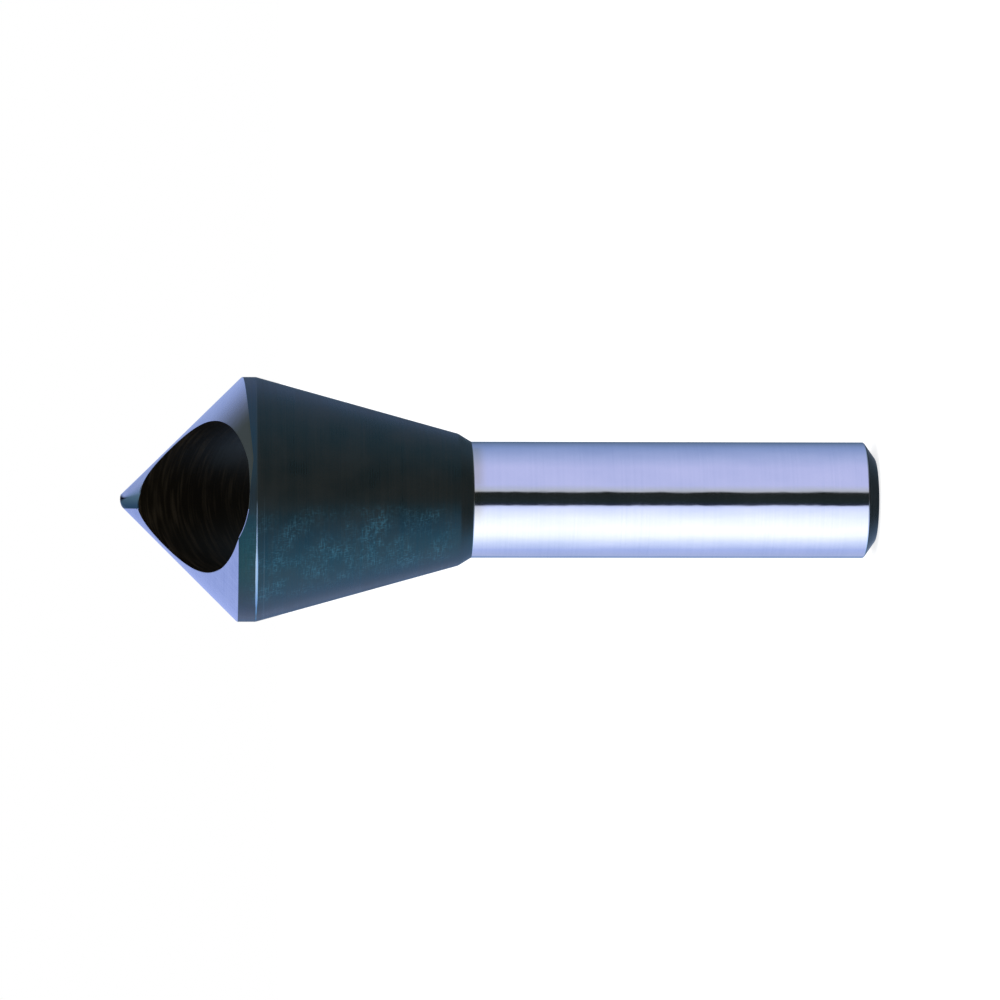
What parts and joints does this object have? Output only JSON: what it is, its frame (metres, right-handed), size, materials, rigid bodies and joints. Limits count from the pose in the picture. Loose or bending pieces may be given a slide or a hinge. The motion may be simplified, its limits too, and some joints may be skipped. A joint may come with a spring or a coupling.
{
  "type": "countersink bit",
  "caption": "Cross-hole countersink and deburring bit: 90 degree relieved cone with an oblique through hole, tapered back and plain round shank.",
  "frame": {"origin": "middle of the shank's end face, on which the bit stands point up", "axes": "+Z along the tool towards the point; the mouth of the cross hole faces -Y; its cutting lip is on the -X side"},
  "size_m": [0.021, 0.021, 0.065],
  "materials": {
    "tool_steel": "ground bright on the cone and shank, blue-black oxide on the head's back and in the hole"
  },
  "bodies": {
    "root": {"countersink_bit": "tool_steel"}
  },
  "joints": []
}
